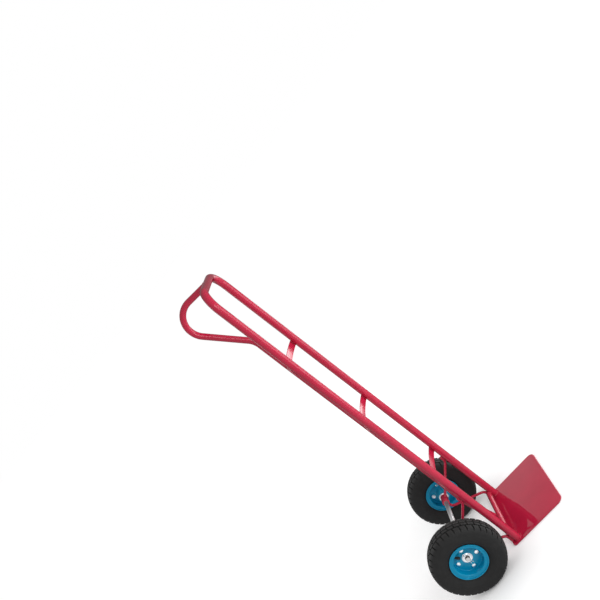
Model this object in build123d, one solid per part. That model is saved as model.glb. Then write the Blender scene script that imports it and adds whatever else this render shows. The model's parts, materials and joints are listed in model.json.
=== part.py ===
from build123d import *

import os
from math import radians, tan

# Hand truck, standing upright on its toe plate and its two wheels.
# Millimetres. +Z is up along the rails, -Y is the load side, +X is the operator's left.
# The origin is on the toe plate's underside, in the plane of the rails, at mid-width.

# Main frame: two rails and the top bar, one bent tube
RAIL_OD = 26.9
RAIL_WALL = 1.6
RAIL_SPACING = 290.0
TOP_BAR_Z = 1318.0
TOP_BEND_R = 65.0

# Loop handle and spine: one bent tube in the middle plane
HANDLE_OD = 22.0
HANDLE_WALL = 1.6
SPINE_Y = 51.0
SPINE_KNEE_Z = 140.0
SPINE_FOOT_Y = 28.0
SPINE_FOOT_Z = 16.0
ARM_FOOT_Z = 1082.0
ARM_LEAN = 33.7
LOOP_BEND_R = 68.0
LOOP_CROWN_Z = 1327.0
LOOP_CROWN_RISE = 6.0
ARM_BEND_R = 65.0
SPINE_KNEE_R = 200.0

# Crossbars: three flat bars bowed back from the rails, and a straight round tube below them
FLAT_WIDTH = 25.0
FLAT_THICKNESS = 4.0
FLAT_HALF_LENGTH = 147.0
FLAT_HEIGHTS = {"lower": 305.5, "middle": 627.5, "upper": 949.5}
SPINE_WELD_GAP = 0.2
BOTTOM_BAR_OD = 20.0
BOTTOM_BAR_WALL = 1.6
BOTTOM_BAR_Y = 14.0
BOTTOM_BAR_Z = 24.0

# Toe plate
PLATE_WIDTH = 330.0
PLATE_OUTER_Y = -201.0
PLATE_INNER_Y = 25.0
PLATE_THICKNESS = 4.0
PLATE_CORNER_R = 24.0
PLATE_INNER_CORNER_R = 12.0

# Wheels and axle
WHEEL_OD = 258.0
WHEEL_TRACK = 424.0
AXLE_D = 16.0
AXLE_Y = 136.0
RUNNING_CLEARANCE = 0.05
FIXED_CLEARANCE = 0.1
SIDE_PLAY = 0.4
AXLE_CHAMFER = 1.0

# Axle struts, bent rods lapped on the back of the rails, and the sleeves that they hold
STRUT_D = 9.5
STRUT_TOP_Z = 260.0
STRUT_UPPER_BEND_Z = 236.0
STRUT_KNEE_Y = 139.0
STRUT_KNEE_Z = 93.0
STRUT_LOWER_BEND_Z = 41.0
STRUT_BOTTOM_Z = 9.0
STRUT_LAP_BEND_R = 20.0
STRUT_KNEE_R = 20.0
STRUT_WELD_GAP = 0.1
SLEEVE_OD = 26.6
SLEEVE_INNER_X = 128.0
SLEEVE_OUTER_X = 165.0

# Washers and cotter pins
WASHER_OD = 30.0
WASHER_BORE = 16.4
WASHER_THICKNESS = 2.5
PIN_WIRE_D = 1.8
PIN_LEG_OFFSET = 1.0
PIN_HOLE_D = 4.2
PIN_TO_WASHER = 2.0
AXLE_PAST_PIN = 5.5
PIN_EYE_R = 3.4
PIN_EYE_FOOT = 11.0
PIN_EYE_TOP = 22.0
PIN_LEG_BEND = 10.5
PIN_LEG_SPLAY = 4.5
PIN_LEG_DROP = 22.0
PIN_BEND_R = 1.6

# Tyre, half section: distances from the wheel's middle plane and radii
TYRE_TOE = (17.0, 51.3)
TYRE_HEEL = (23.0, 51.3)
TYRE_HEEL_SIDE = (25.2, 53.5)
TYRE_FLANGE_TOP = (25.2, 64.6)
TYRE_SIDEWALL = (40.5, 92.0)
TYRE_SHOULDER_LOW = (39.2, 106.0)
TYRE_SHOULDER = (36.0, 117.0)
TYRE_TREAD_EDGE = (29.0, 124.4)
TYRE_LINER_FOOT = (17.0, 58.0)
TYRE_LINER_SIDE = (33.5, 90.0)
TYRE_LINER_TOP = (25.0, 113.5)
TYRE_LINER_CROWN_R = 117.5

# Inner tube
TUBE_CENTRE_R = 85.0
TUBE_SECTION_R = 28.5
TUBE_WALL = 1.8

# Rim halves, pressed sheet: radii of the face and half widths
RIM_SHEET = 2.2
RIM_SEAT_R = 51.0
RIM_FLANGE_R = 64.0
RIM_FLANGE_X = 28.0
RIM_LIP_REACH = 2.6
RIM_WEB_BEND_R = 5.0
RIM_FLANGE_BEND_R = 4.0
RIM_LIP_BEND_R = 2.6

# Rim bolts and nuts
BOLT_CIRCLE_R = 36.0
BOLT_COUNT = 4
BOLT_D = 8.0
BOLT_HEX = 13.0
BOLT_HEAD_HEIGHT = 5.3
NUT_HEIGHT = 6.5
BOLT_PAST_NUT = 2.0
BOLT_HOLE_D = 8.4

# Hub sleeve, bearings and spacer
HUB_OD = 42.0
HUB_INBOARD = 44.0
HUB_OUTBOARD = 4.0
HUB_SHOULDER_D = 29.0
BEARING_OD = 35.0
BEARING_WIDTH = 11.0
OUTER_RING_ID = 29.6
INNER_RING_OD = 21.6
BALL_D = 6.4
BALL_COUNT = 8
BALL_CLEARANCE = 0.05

# Valve stem and cap
VALVE_D = 8.0
VALVE_HOLE_D = 8.6
VALVE_X = 12.0
VALVE_ROOT_R = 60.5
VALVE_TIP_R = 35.0
VALVE_CAP_D = 9.6
VALVE_CAP_LENGTH = 9.0
VALVE_CAP_ROUND = 1.2
VALVE_FROM_BOLT = 47.0

# Angle of the first rim bolt from +Y towards +Z on each wheel
BOLT_PHASE = {"left": 17.0, "right": 11.0}
# Direction along X that points outboard on each side
SIDES = {"left": 1, "right": -1}

# Derived places
rail_r = RAIL_OD / 2
rail_x = RAIL_SPACING / 2
wheel_r = WHEEL_OD / 2
wheel_x = WHEEL_TRACK / 2
axle_z = wheel_r
pitch_r = (OUTER_RING_ID + INNER_RING_OD) / 4
hub_inner_x = wheel_x - HUB_INBOARD
hub_outer_x = wheel_x + HUB_OUTBOARD
outer_washer_x = hub_outer_x + SIDE_PLAY
pin_x = outer_washer_x + WASHER_THICKNESS + PIN_TO_WASHER
axle_end_x = pin_x + AXLE_PAST_PIN
lap_y = rail_r + STRUT_D / 2 + STRUT_WELD_GAP


def swept(points, bend_radius, diameter, wall=0.0):
    """Round rod, or tube if it has a wall, along straight runs joined by tangent arcs."""
    path = FilletPolyline(*points, radius=bend_radius)
    start = Plane(origin=path @ 0, z_dir=path % 0)
    section = start * Circle(diameter / 2)
    if wall:
        section -= start * Circle(diameter / 2 - wall)
    return sweep(section, path=path)


def bar_x(diameter, x0, x1, y=0.0, z=0.0):
    """Round bar along X from x0 to x1."""
    return Pos((x0 + x1) / 2, y, z) * Rot(Y=90) * Cylinder(diameter / 2, abs(x1 - x0))


def ring_x(outer_d, inner_d, x0, x1):
    """Plain ring round the X axis from x0 to x1."""
    return bar_x(outer_d, x0, x1) - bar_x(inner_d, x0, x1)


def hex_x(across_flats, x0, x1):
    """Hexagonal bar along X from x0 to x1."""
    outline = RegularPolygon(across_flats / 2, 6, major_radius=False)
    return Pos(x0, 0, 0) * Rot(Y=90) * extrude(outline, x1 - x0)


def turned(outline):
    """Solid of revolution about X from a closed outline of (x, radius)."""
    return revolve(make_face(outline), Axis.X)


def on_circle(radius, angle, shape):
    """The shape moved out to a radius, at an angle about X from +Y towards +Z."""
    return Rot(X=angle) * Pos(0, radius, 0) * shape


def group(shapes):
    """Separate solids kept as one node."""
    return Compound(children=[shape.solid() for shape in shapes])


# Frame pieces

def rails_outline():
    """Solid of the two rails alone, used to cope what is welded between them."""
    rail = Cylinder(rail_r, TOP_BAR_Z - TOP_BEND_R, align=(Align.CENTER, Align.CENTER, Align.MIN))
    return Pos(-rail_x, 0, 0) * rail + Pos(rail_x, 0, 0) * rail


def main_frame_tube():
    corners = [
        (-rail_x, 0, PLATE_THICKNESS),
        (-rail_x, 0, TOP_BAR_Z),
        (rail_x, 0, TOP_BAR_Z),
        (rail_x, 0, PLATE_THICKNESS),
    ]
    return swept(corners, TOP_BEND_R, RAIL_OD, RAIL_WALL)


def loop_handle_tube():
    """Loop handle from the top bar, back and round, then down as the spine to the bottom bar."""
    # The arm and the crown would meet in a sharp corner behind the loop
    crown_slope = tan(radians(LOOP_CROWN_RISE))
    arm_slope = 1 / tan(radians(ARM_LEAN))
    crown_front_z = LOOP_CROWN_Z - crown_slope * LOOP_BEND_R
    corner_y = (crown_front_z - ARM_FOOT_Z + arm_slope * SPINE_Y) / (arm_slope - crown_slope)
    corners = [
        (0, 0, crown_front_z),
        (0, corner_y, crown_front_z + crown_slope * corner_y),
        (0, SPINE_Y, ARM_FOOT_Z),
        (0, SPINE_Y, SPINE_KNEE_Z),
        (0, SPINE_FOOT_Y, SPINE_FOOT_Z),
    ]
    bends = [LOOP_BEND_R, ARM_BEND_R, SPINE_KNEE_R]
    handle = swept(corners, bends, HANDLE_OD, HANDLE_WALL)
    top_bar = bar_x(RAIL_OD, -rail_x, rail_x, z=TOP_BAR_Z)
    bottom_bar = bar_x(BOTTOM_BAR_OD, -rail_x, rail_x, BOTTOM_BAR_Y, BOTTOM_BAR_Z)
    return (handle - top_bar - bottom_bar).solids().sort_by(SortBy.VOLUME)[-1]


def flat_crossbar(height):
    """Flat bar lapped on the back of the rails and bowed back until it meets the spine."""
    end_y = rail_r + FLAT_THICKNESS / 2
    mid_y = SPINE_Y - HANDLE_OD / 2 - FLAT_THICKNESS / 2 - SPINE_WELD_GAP
    bow = mid_y - end_y
    bow_r = (rail_x**2 + bow**2) / (2 * bow)
    hoop = Cylinder(bow_r + FLAT_THICKNESS / 2, FLAT_WIDTH)
    hoop -= Cylinder(bow_r - FLAT_THICKNESS / 2, FLAT_WIDTH)
    hoop = Pos(0, mid_y - bow_r, height) * hoop
    between = Pos(0, mid_y, height) * Box(2 * FLAT_HALF_LENGTH, 4 * bow, FLAT_WIDTH)
    return (hoop & between) - rails_outline()


def bottom_crossbar():
    """Straight tube welded to the back of the rails, between the feet of the struts."""
    end_x = rail_x - STRUT_D / 2 - FIXED_CLEARANCE
    tube = bar_x(BOTTOM_BAR_OD, -end_x, end_x, BOTTOM_BAR_Y, BOTTOM_BAR_Z)
    bore = bar_x(BOTTOM_BAR_OD - 2 * BOTTOM_BAR_WALL, -end_x, end_x, BOTTOM_BAR_Y, BOTTOM_BAR_Z)
    return tube - bore - rails_outline()


def toe_plate():
    blank = Box(PLATE_WIDTH, PLATE_INNER_Y - PLATE_OUTER_Y, PLATE_THICKNESS)
    blank = Pos(0, (PLATE_INNER_Y + PLATE_OUTER_Y) / 2, PLATE_THICKNESS / 2) * blank
    outer_corners = blank.edges().filter_by(Axis.Z).group_by(Axis.Y)[0]
    plate = fillet(outer_corners, PLATE_CORNER_R)
    inner_corners = plate.edges().filter_by(Axis.Z).group_by(Axis.Y)[-1]
    return fillet(inner_corners, PLATE_INNER_CORNER_R)


def axle_sleeve(side):
    return Pos(0, AXLE_Y, axle_z) * ring_x(
        SLEEVE_OD, AXLE_D + 2 * FIXED_CLEARANCE, side * SLEEVE_INNER_X, side * SLEEVE_OUTER_X
    )


def sleeve_outline(side):
    return bar_x(SLEEVE_OD, side * SLEEVE_INNER_X, side * SLEEVE_OUTER_X, AXLE_Y, axle_z)


def upper_strut(side):
    """Rod lapped on the back of the rail above the axle, then straight to the sleeve."""
    x = side * rail_x
    corners = [
        (x, lap_y, STRUT_TOP_Z),
        (x, lap_y, STRUT_UPPER_BEND_Z),
        (x, AXLE_Y, axle_z),
    ]
    return swept(corners, STRUT_LAP_BEND_R, STRUT_D) - sleeve_outline(side)


def lower_strut(side):
    """Hooked rod from under the sleeve forward to a lap on the back of the rail's foot."""
    x = side * rail_x
    corners = [
        (x, AXLE_Y, axle_z),
        (x, STRUT_KNEE_Y, STRUT_KNEE_Z),
        (x, lap_y, STRUT_LOWER_BEND_Z),
        (x, lap_y, STRUT_BOTTOM_Z),
    ]
    return swept(corners, [STRUT_KNEE_R, STRUT_LAP_BEND_R], STRUT_D) - sleeve_outline(side)


def axle():
    bar = chamfer(bar_x(AXLE_D, -axle_end_x, axle_end_x).edges(), AXLE_CHAMFER)
    for side in SIDES.values():
        bar -= Pos(side * pin_x, 0, 0) * Cylinder(PIN_HOLE_D / 2, 2 * AXLE_D)
    return Pos(0, AXLE_Y, axle_z) * bar


def washer(inner_face_x, side):
    outer_face_x = inner_face_x + WASHER_THICKNESS
    ring = ring_x(WASHER_OD, WASHER_BORE, side * inner_face_x, side * outer_face_x)
    return Pos(0, AXLE_Y, axle_z) * ring


def cotter_pin(side):
    """Folded wire: an eye above the axle, two legs through it, splayed below."""
    half = [
        (0, PIN_LEG_SPLAY, -PIN_LEG_DROP),
        (0, PIN_LEG_OFFSET, -PIN_LEG_BEND),
        (0, PIN_LEG_OFFSET, PIN_EYE_FOOT),
        (0, PIN_EYE_R, PIN_EYE_FOOT + PIN_EYE_R),
        (0, PIN_EYE_R, PIN_EYE_TOP),
    ]
    other_half = [(0, -y, z) for _, y, z in reversed(half)]
    pin = swept(half + other_half, PIN_BEND_R, PIN_WIRE_D)
    return Pos(side * pin_x, AXLE_Y, axle_z) * pin


# Wheel pieces, made with the outboard side towards +X and the axle along X

def tyre():
    """Hollow carcass, open between its beads."""

    def mirrored(point):
        return (-point[0], point[1])

    half = [
        Line(TYRE_LINER_FOOT, TYRE_TOE),
        Line(TYRE_TOE, TYRE_HEEL),
        Line(TYRE_HEEL, TYRE_HEEL_SIDE),
        Line(TYRE_HEEL_SIDE, TYRE_FLANGE_TOP),
        ThreePointArc(TYRE_FLANGE_TOP, TYRE_SIDEWALL, TYRE_SHOULDER_LOW),
        ThreePointArc(TYRE_SHOULDER_LOW, TYRE_SHOULDER, TYRE_TREAD_EDGE),
        ThreePointArc(TYRE_LINER_FOOT, TYRE_LINER_SIDE, TYRE_LINER_TOP),
    ]
    other_half = [mirror(edge, Plane.YZ) for edge in half]
    tread = ThreePointArc(TYRE_TREAD_EDGE, (0, wheel_r), mirrored(TYRE_TREAD_EDGE))
    crown = ThreePointArc(TYRE_LINER_TOP, (0, TYRE_LINER_CROWN_R), mirrored(TYRE_LINER_TOP))
    return turned([*half, tread, *other_half, crown])


def inner_tube(valve_angle):
    """Thin ring of rubber, pierced where the valve stem leaves it."""
    ring = Torus(TUBE_CENTRE_R, TUBE_SECTION_R) - Torus(TUBE_CENTRE_R, TUBE_SECTION_R - TUBE_WALL)
    hole = Pos(VALVE_X, 0, 0) * Rot(X=90) * Cylinder(VALVE_HOLE_D / 2, 2 * (TUBE_SECTION_R - TUBE_WALL))
    return Rot(Y=90) * ring - on_circle(TUBE_CENTRE_R - TUBE_SECTION_R, valve_angle, hole)


def rim_half(bolt_angles):
    """Pressed half rim: web with bolt holes, tyre seat and flange with a rolled lip."""
    inside = [
        (0, HUB_OD / 2),
        (0, RIM_SEAT_R),
        (RIM_FLANGE_X - RIM_SHEET, RIM_SEAT_R),
        (RIM_FLANGE_X - RIM_SHEET, RIM_FLANGE_R),
        (RIM_FLANGE_X + RIM_LIP_REACH, RIM_FLANGE_R),
    ]
    outside = [
        (RIM_FLANGE_X + RIM_LIP_REACH, RIM_FLANGE_R - RIM_SHEET),
        (RIM_FLANGE_X, RIM_FLANGE_R - RIM_SHEET),
        (RIM_FLANGE_X, RIM_SEAT_R - RIM_SHEET),
        (RIM_SHEET, RIM_SEAT_R - RIM_SHEET),
        (RIM_SHEET, HUB_OD / 2),
    ]
    bends = [RIM_WEB_BEND_R, RIM_FLANGE_BEND_R - RIM_SHEET, RIM_LIP_BEND_R]
    inside_line = FilletPolyline(*inside, radius=bends)
    tight = [RIM_LIP_BEND_R - RIM_SHEET, RIM_FLANGE_BEND_R, RIM_WEB_BEND_R - RIM_SHEET]
    outside_line = FilletPolyline(*outside, radius=tight)
    ends = [Line(inside[-1], outside[0]), Line(outside[-1], inside[0])]
    rim = turned([*inside_line.edges(), *outside_line.edges(), *ends])
    for angle in bolt_angles:
        rim -= on_circle(BOLT_CIRCLE_R, angle, bar_x(BOLT_HOLE_D, -RIM_SHEET, 2 * RIM_SHEET))
    return rim


def valve_hole(valve_angle):
    hole = Pos(VALVE_X, 0, 0) * Rot(X=90) * Cylinder(VALVE_HOLE_D / 2, 4 * RIM_SHEET)
    return on_circle(RIM_SEAT_R, valve_angle, hole)


def rim_bolt():
    shank_end = -(RIM_SHEET + NUT_HEIGHT + BOLT_PAST_NUT)
    return hex_x(BOLT_HEX, RIM_SHEET, RIM_SHEET + BOLT_HEAD_HEIGHT) + bar_x(BOLT_D, shank_end, RIM_SHEET)


def rim_nut():
    nut = hex_x(BOLT_HEX, -RIM_SHEET - NUT_HEIGHT, -RIM_SHEET)
    return nut - bar_x(BOLT_D + 2 * FIXED_CLEARANCE, -RIM_SHEET - NUT_HEIGHT, -RIM_SHEET)


def hub_sleeve():
    """Tube that carries the rim, bored at both ends for a bearing."""
    sleeve = ring_x(HUB_OD, HUB_SHOULDER_D, -HUB_INBOARD, HUB_OUTBOARD)
    for seat in bearing_spans():
        sleeve -= bar_x(BEARING_OD, *seat)
    return sleeve


def bearing_spans():
    """Start and end along X of the inboard and the outboard bearing."""
    inboard = (-HUB_INBOARD, -HUB_INBOARD + BEARING_WIDTH)
    outboard = (HUB_OUTBOARD - BEARING_WIDTH, HUB_OUTBOARD)
    return [inboard, outboard]


def ball_groove(span):
    groove = Rot(Y=90) * Torus(pitch_r, BALL_D / 2 + BALL_CLEARANCE)
    return Pos(sum(span) / 2, 0, 0) * groove


def bearing_rings(outer_d, inner_d):
    return group(ring_x(outer_d, inner_d, *span) - ball_groove(span) for span in bearing_spans())


def bearing_balls():
    balls = []
    for span in bearing_spans():
        for index in range(BALL_COUNT):
            ball = Pos(sum(span) / 2, 0, 0) * Sphere(BALL_D / 2)
            balls.append(on_circle(pitch_r, index * 360 / BALL_COUNT, ball))
    return group(balls)


def bearing_spacer():
    inboard, outboard = bearing_spans()
    return ring_x(INNER_RING_OD, AXLE_D + 2 * RUNNING_CLEARANCE, inboard[1], outboard[0])


def valve_rod(diameter, outer_r, inner_r):
    """Round rod along Y in the valve's plane, between two radii of the wheel."""
    rod = Rot(X=90) * Cylinder(diameter / 2, outer_r - inner_r)
    return Pos(VALVE_X, (outer_r + inner_r) / 2, 0) * rod


def valve_stem(valve_angle):
    """Straight stem from the inner tube in through the rim, towards the hub."""
    return Rot(X=valve_angle) * valve_rod(VALVE_D, VALVE_ROOT_R, VALVE_TIP_R)


def valve_cap(valve_angle):
    cap = valve_rod(VALVE_CAP_D, VALVE_TIP_R, VALVE_TIP_R - VALVE_CAP_LENGTH)
    cap = fillet(cap.edges().group_by(Axis.Y)[0], VALVE_CAP_ROUND)
    return Rot(X=valve_angle) * cap


def wheel_pieces(phase):
    """All pieces of one wheel by name, centred on the origin."""
    bolt_angles = [phase + index * 360 / BOLT_COUNT for index in range(BOLT_COUNT)]
    valve_angle = phase + VALVE_FROM_BOLT
    rim = rim_half(bolt_angles)
    return {
        "tyre": tyre(),
        "inner_tube": inner_tube(valve_angle),
        "rim_outer_half": rim - valve_hole(valve_angle),
        "rim_inner_half": mirror(rim, Plane.YZ),
        "rim_bolts": group(on_circle(BOLT_CIRCLE_R, angle, rim_bolt()) for angle in bolt_angles),
        "rim_nuts": group(on_circle(BOLT_CIRCLE_R, angle, rim_nut()) for angle in bolt_angles),
        "hub_sleeve": hub_sleeve(),
        "bearing_outer_rings": bearing_rings(BEARING_OD, OUTER_RING_ID),
        "bearing_balls": bearing_balls(),
        "bearing_inner_rings": bearing_rings(INNER_RING_OD, AXLE_D + 2 * RUNNING_CLEARANCE),
        "bearing_spacer": bearing_spacer(),
        "valve_stem": valve_stem(valve_angle),
        "valve_cap": valve_cap(valve_angle),
    }


def hand_truck():
    """All nodes of the hand truck by name."""
    nodes = {
        "main_frame_tube": main_frame_tube(),
        "loop_handle_tube": loop_handle_tube(),
        "bottom_crossbar": bottom_crossbar(),
        "toe_plate": toe_plate(),
        "axle": axle(),
    }
    for name, height in FLAT_HEIGHTS.items():
        nodes[f"{name}_crossbar"] = flat_crossbar(height)
    for name, side in SIDES.items():
        nodes[f"{name}_upper_strut"] = upper_strut(side)
        nodes[f"{name}_lower_strut"] = lower_strut(side)
        nodes[f"{name}_axle_sleeve"] = axle_sleeve(side)
        nodes[f"{name}_inner_washer"] = washer(hub_inner_x - SIDE_PLAY - WASHER_THICKNESS, side)
        nodes[f"{name}_outer_washer"] = washer(outer_washer_x, side)
        nodes[f"{name}_cotter_pin"] = cotter_pin(side)
        for piece, shape in wheel_pieces(BOLT_PHASE[name]).items():
            outboard = shape if side > 0 else mirror(shape, Plane.YZ)
            nodes[f"{name}_{piece}"] = Pos(side * wheel_x, AXLE_Y, axle_z) * outboard
    return nodes


os.makedirs("parts", exist_ok=True)
for node_name, node_shape in hand_truck().items():
    export_step(node_shape, f"parts/{node_name}.step")
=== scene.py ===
import json
from math import asin, ceil, cos, pi, radians, sin, sqrt, tan

import bmesh
import bpy
from mathutils import Matrix, Vector


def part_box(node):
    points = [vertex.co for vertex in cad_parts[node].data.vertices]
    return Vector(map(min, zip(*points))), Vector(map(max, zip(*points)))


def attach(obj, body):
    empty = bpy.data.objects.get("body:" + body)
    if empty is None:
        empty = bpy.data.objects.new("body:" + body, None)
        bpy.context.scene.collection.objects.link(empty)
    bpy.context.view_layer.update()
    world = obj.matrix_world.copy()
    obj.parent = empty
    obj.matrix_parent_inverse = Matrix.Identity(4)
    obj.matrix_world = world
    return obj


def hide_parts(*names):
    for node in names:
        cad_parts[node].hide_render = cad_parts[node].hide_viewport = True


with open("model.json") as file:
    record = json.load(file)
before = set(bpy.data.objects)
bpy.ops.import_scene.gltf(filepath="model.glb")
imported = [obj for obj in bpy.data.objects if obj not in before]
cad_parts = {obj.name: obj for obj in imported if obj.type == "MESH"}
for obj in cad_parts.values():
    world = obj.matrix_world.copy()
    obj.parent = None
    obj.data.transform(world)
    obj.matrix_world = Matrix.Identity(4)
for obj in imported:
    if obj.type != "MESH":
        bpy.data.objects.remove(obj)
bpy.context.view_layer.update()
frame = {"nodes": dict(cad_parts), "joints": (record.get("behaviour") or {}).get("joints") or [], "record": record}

# Looks of a hand truck that stands upright on its toe plate and its two wheels.
# Metres. +Z is up along the rails, -Y is the load side, +X is the operator's left.
MM = 0.001

# Frame tubes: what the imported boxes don't say
RAIL_D = 26.9 * MM
TOP_BEND_R = 65 * MM
HANDLE_D = 22 * MM
TUBE_WALL = 1.6 * MM
TUBE_LIP = 0.3 * MM
BORE_DEPTH = 1.5 * HANDLE_D
SPINE_Y = 51 * MM
SPINE_KNEE_Z = 140 * MM
SPINE_KNEE_R = 200 * MM
SPINE_FOOT = Vector((0, 28 * MM, 16 * MM))
ARM_FOOT_Z = 1082 * MM
ARM_LEAN = radians(33.7)
ARM_BEND_R = 65 * MM
LOOP_BEND_R = 68 * MM
LOOP_CROWN_Z = 1327 * MM
LOOP_CROWN_RISE = radians(6)

# Flat bars and toe plate
FLAT_THICKNESS = 4 * MM
FLAT_EDGE_R = 1.2 * MM
PLATE_CORNER_R = 24 * MM
PLATE_INNER_CORNER_R = 12 * MM
PLATE_EDGE_R = 1.2 * MM

# Struts
STRUT_D = 9.5 * MM
STRUT_LAP_GAP = 0.1 * MM
STRUT_TOP_Z = 260 * MM
STRUT_UPPER_BEND_Z = 236 * MM
STRUT_KNEE = (139 * MM, 93 * MM)
STRUT_LOWER_BEND_Z = 41 * MM
STRUT_BOTTOM_Z = 9 * MM
STRUT_BEND_R = 20 * MM

# Weld beads
BEAD_R = 2.0 * MM
BEAD_RIPPLE = 0.09
BEAD_PITCH = 2.6 * MM
BEAD_STEP = BEAD_PITCH / 6
BEAD_END_SCALE = 0.35
NEARLY_ALONG = 0.9
SMALL_BEAD_R = 1.6 * MM
LAP_BEAD_X = 4.2 * MM
FLAT_BEAD_INNER_X = 5.2 * MM
FLAT_BEAD_END_X = 2.2 * MM
FOOT_BEAD_OUT = 0.4 * BEAD_R
FOOT_BEAD_UP = 0.3 * BEAD_R
FOOT_BEAD_HALF_SPAN = radians(121)
SPINE_BEAD_HALF_SPAN = radians(56)
BAR_BEAD_HALF_SPAN = radians(80)
LAP_BEAD_FROM_BEND = 0.4 * STRUT_BEND_R

# Tyre section: half widths and radii
TREAD_EDGE = (29 * MM, 124.4 * MM)
SHOULDER = (36 * MM, 117 * MM)
SHOULDER_LOW = (39.2 * MM, 106 * MM)
SIDEWALL = (40.45 * MM, 92 * MM)
FLANGE_TOP = (25.2 * MM, 64.6 * MM)
HEEL_SIDE = (25.2 * MM, 53.5 * MM)
HEEL = (23 * MM, 51.3 * MM)
TOE = (17 * MM, 51.3 * MM)
LINER_FOOT = (17 * MM, 58 * MM)
LINER_SIDE = (33.5 * MM, 90 * MM)
LINER_TOP = (25 * MM, 113.5 * MM)
LINER_CROWN_R = 117.5 * MM

# Tread: places and widths round the tyre are shares of the pitch from one lug to the next
LUGS = 36
TREAD_DEPTH = 4.6 * MM
LUG_END_R = 117 * MM
SHOULDER_GROOVE_AT = 0.0
SHOULDER_GROOVE_HALF = 0.09
INNER_GROOVE_AT = 0.5
INNER_GROOVE_HALF = 0.07
GROOVE_WALL = 0.022
BLOCK_MIDDLES = (0.25, 0.75)
RING_GROOVE_HALF = 1.5 * MM
RING_GROOVE_PLACE = 14.2 * MM
RING_WALL = 0.6 * MM
TREAD_SLANT = 0.42
SIDE_RIDGE_RADII = (70 * MM, 84 * MM)
SIDE_RIDGE_HALF = 0.7 * MM
SIDE_RIDGE_HEIGHT = 0.6 * MM

# Fasteners: each bolt's hexagon is turned a step, in radians, further than the one before it
BOLT_HEX = 13 * MM
BOLT_D = 8 * MM
BOLT_CIRCLE_R = 36 * MM
BOLT_COUNT = 4
BOLT_PHASE = {"left": radians(17), "right": radians(11)}
BOLT_TURN_STEP = 0.5
RIM_SHEET = 2.2 * MM
BOLT_HEAD_HEIGHT = 5.3 * MM
NUT_HEIGHT = 6.5 * MM
BOLT_PAST_NUT = 2 * MM
THREAD_PITCH = 1.25 * MM
THREAD_DEPTH = 0.5 * MM
HEX_TOP_SHARE = 0.95
CHAMFER_SLOPE = tan(radians(30))
WASHER_BORE_D = 16.4 * MM
WASHER_EDGE = 0.4 * MM

# Cotter pin
PIN_WIRE_D = 1.8 * MM
PIN_LEG = 1 * MM
PIN_EYE_R = 3.4 * MM
PIN_EYE_FOOT = 11 * MM
PIN_EYE_TOP = 22 * MM
PIN_LEG_BEND = 10.5 * MM
PIN_LEG_SPLAY = 4.5 * MM
PIN_LEG_DROP = 22 * MM
PIN_BEND_R = 1.6 * MM
PIN_EYE_BEND_R = 3 * MM

# Axle: painted shade on its side from here outwards, none on the end face
SIDE_SHADE_X = 219 * MM
SIDE_SHADE_FADE = 0.5 * MM
END_FACE_FROM = 0.2 * MM
END_FACE_TO = 0.1 * MM

# Valve: the cap's profile and its flutes' ends are shares of the cap's length and radius
VALVE_FROM_BOLT = radians(47)
VALVE_D = 8 * MM
VALVE_X = 12 * MM
VALVE_ROOT_R = 60.5 * MM
VALVE_TIP_R = 35 * MM
VALVE_RIB_DEPTH = 0.5 * MM
VALVE_RIB_WIDTH = 1.6 * MM
VALVE_CAP_D = 9.6 * MM
VALVE_CAP_LENGTH = 9 * MM
VALVE_CAP_FLUTES = 14
VALVE_FLUTE_DEPTH = 0.3 * MM
VALVE_FLUTE_SHARES = (0.04, 0.92)
VALVE_CAP_PROFILE = [(0, 0.9), (0.04, 1), (0.8, 1), (0.92, 0.93), (0.98, 0.8), (1, 0.62)]

# How finely round shapes are divided, and how sharp an edge stays sharp
TUBE_SIDES = 48
TURNED_SIDES = 96
VALVE_SIDES = 32
FLUTE_SIDES = 4
PIN_SIDES = 20
BEAD_SIDES = 12
ARC_STEP = radians(4)
FLAT_BAR_STEP = radians(1)
PLATE_CORNER_STEPS = 12
EDGE_STEPS = 4
CHAMFER_STEPS = 3
SHOULDER_STEPS = 8
SIDEWALL_STEPS = 40
LINER_STEPS = 8
SHARP_ANGLE = radians(32)

SIDES = {"left": 1, "right": -1}
LEVELS = ("lower", "middle", "upper")

# Camera of the photograph, fitted to the wheels, rails and toe plate
CAMERA_PLACE = Vector((-2.4187, -0.6392, 1.5218))
CAMERA_VIEW = Vector((0.96301, 0.19537, -0.18556))
CAMERA_UP = Vector((0.26868, -0.74851, 0.60625))
CAMERA_LENS = 47.0
CAMERA_SENSOR = 36.0

# Stage: the floor's glow rises between two distances from the middle, and falls close to the truck in a painted
# contact shadow
FLOOR_HALF = 40.0
FLOOR_DROP = 0.5 * MM
GLOW_RISE_FROM = 0.4
GLOW_RISE_TO = 2.0
CONTACT_REACH = 0.12
CONTACT_SAMPLES = 16
LAMP_TARGET = Vector((0, 0, 0.65))

# Most of a noise's values lie in this range
NOISE_RANGE = (0.3, 0.7)

# Sockets of a mix node that mixes colours
MIX_FIRST = 6
MIX_SECOND = 7
MIX_RESULT = 2

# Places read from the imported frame
rail_r = RAIL_D / 2
strut_lap_y = rail_r + STRUT_LAP_GAP + STRUT_D / 2
frame_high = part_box("main_frame_tube")[1]
rail_x = frame_high.x - rail_r
top_bar_z = frame_high.z - rail_r
plate_low, plate_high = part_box("toe_plate")
wheel_centre = {j["child"]: Vector(j["pos_m"]) for j in frame["joints"]}
axle_y = wheel_centre["left_wheel"].y
axle_z = wheel_centre["left_wheel"].z
wheel_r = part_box("left_tyre")[1].z - axle_z


# Mesh building

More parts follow.
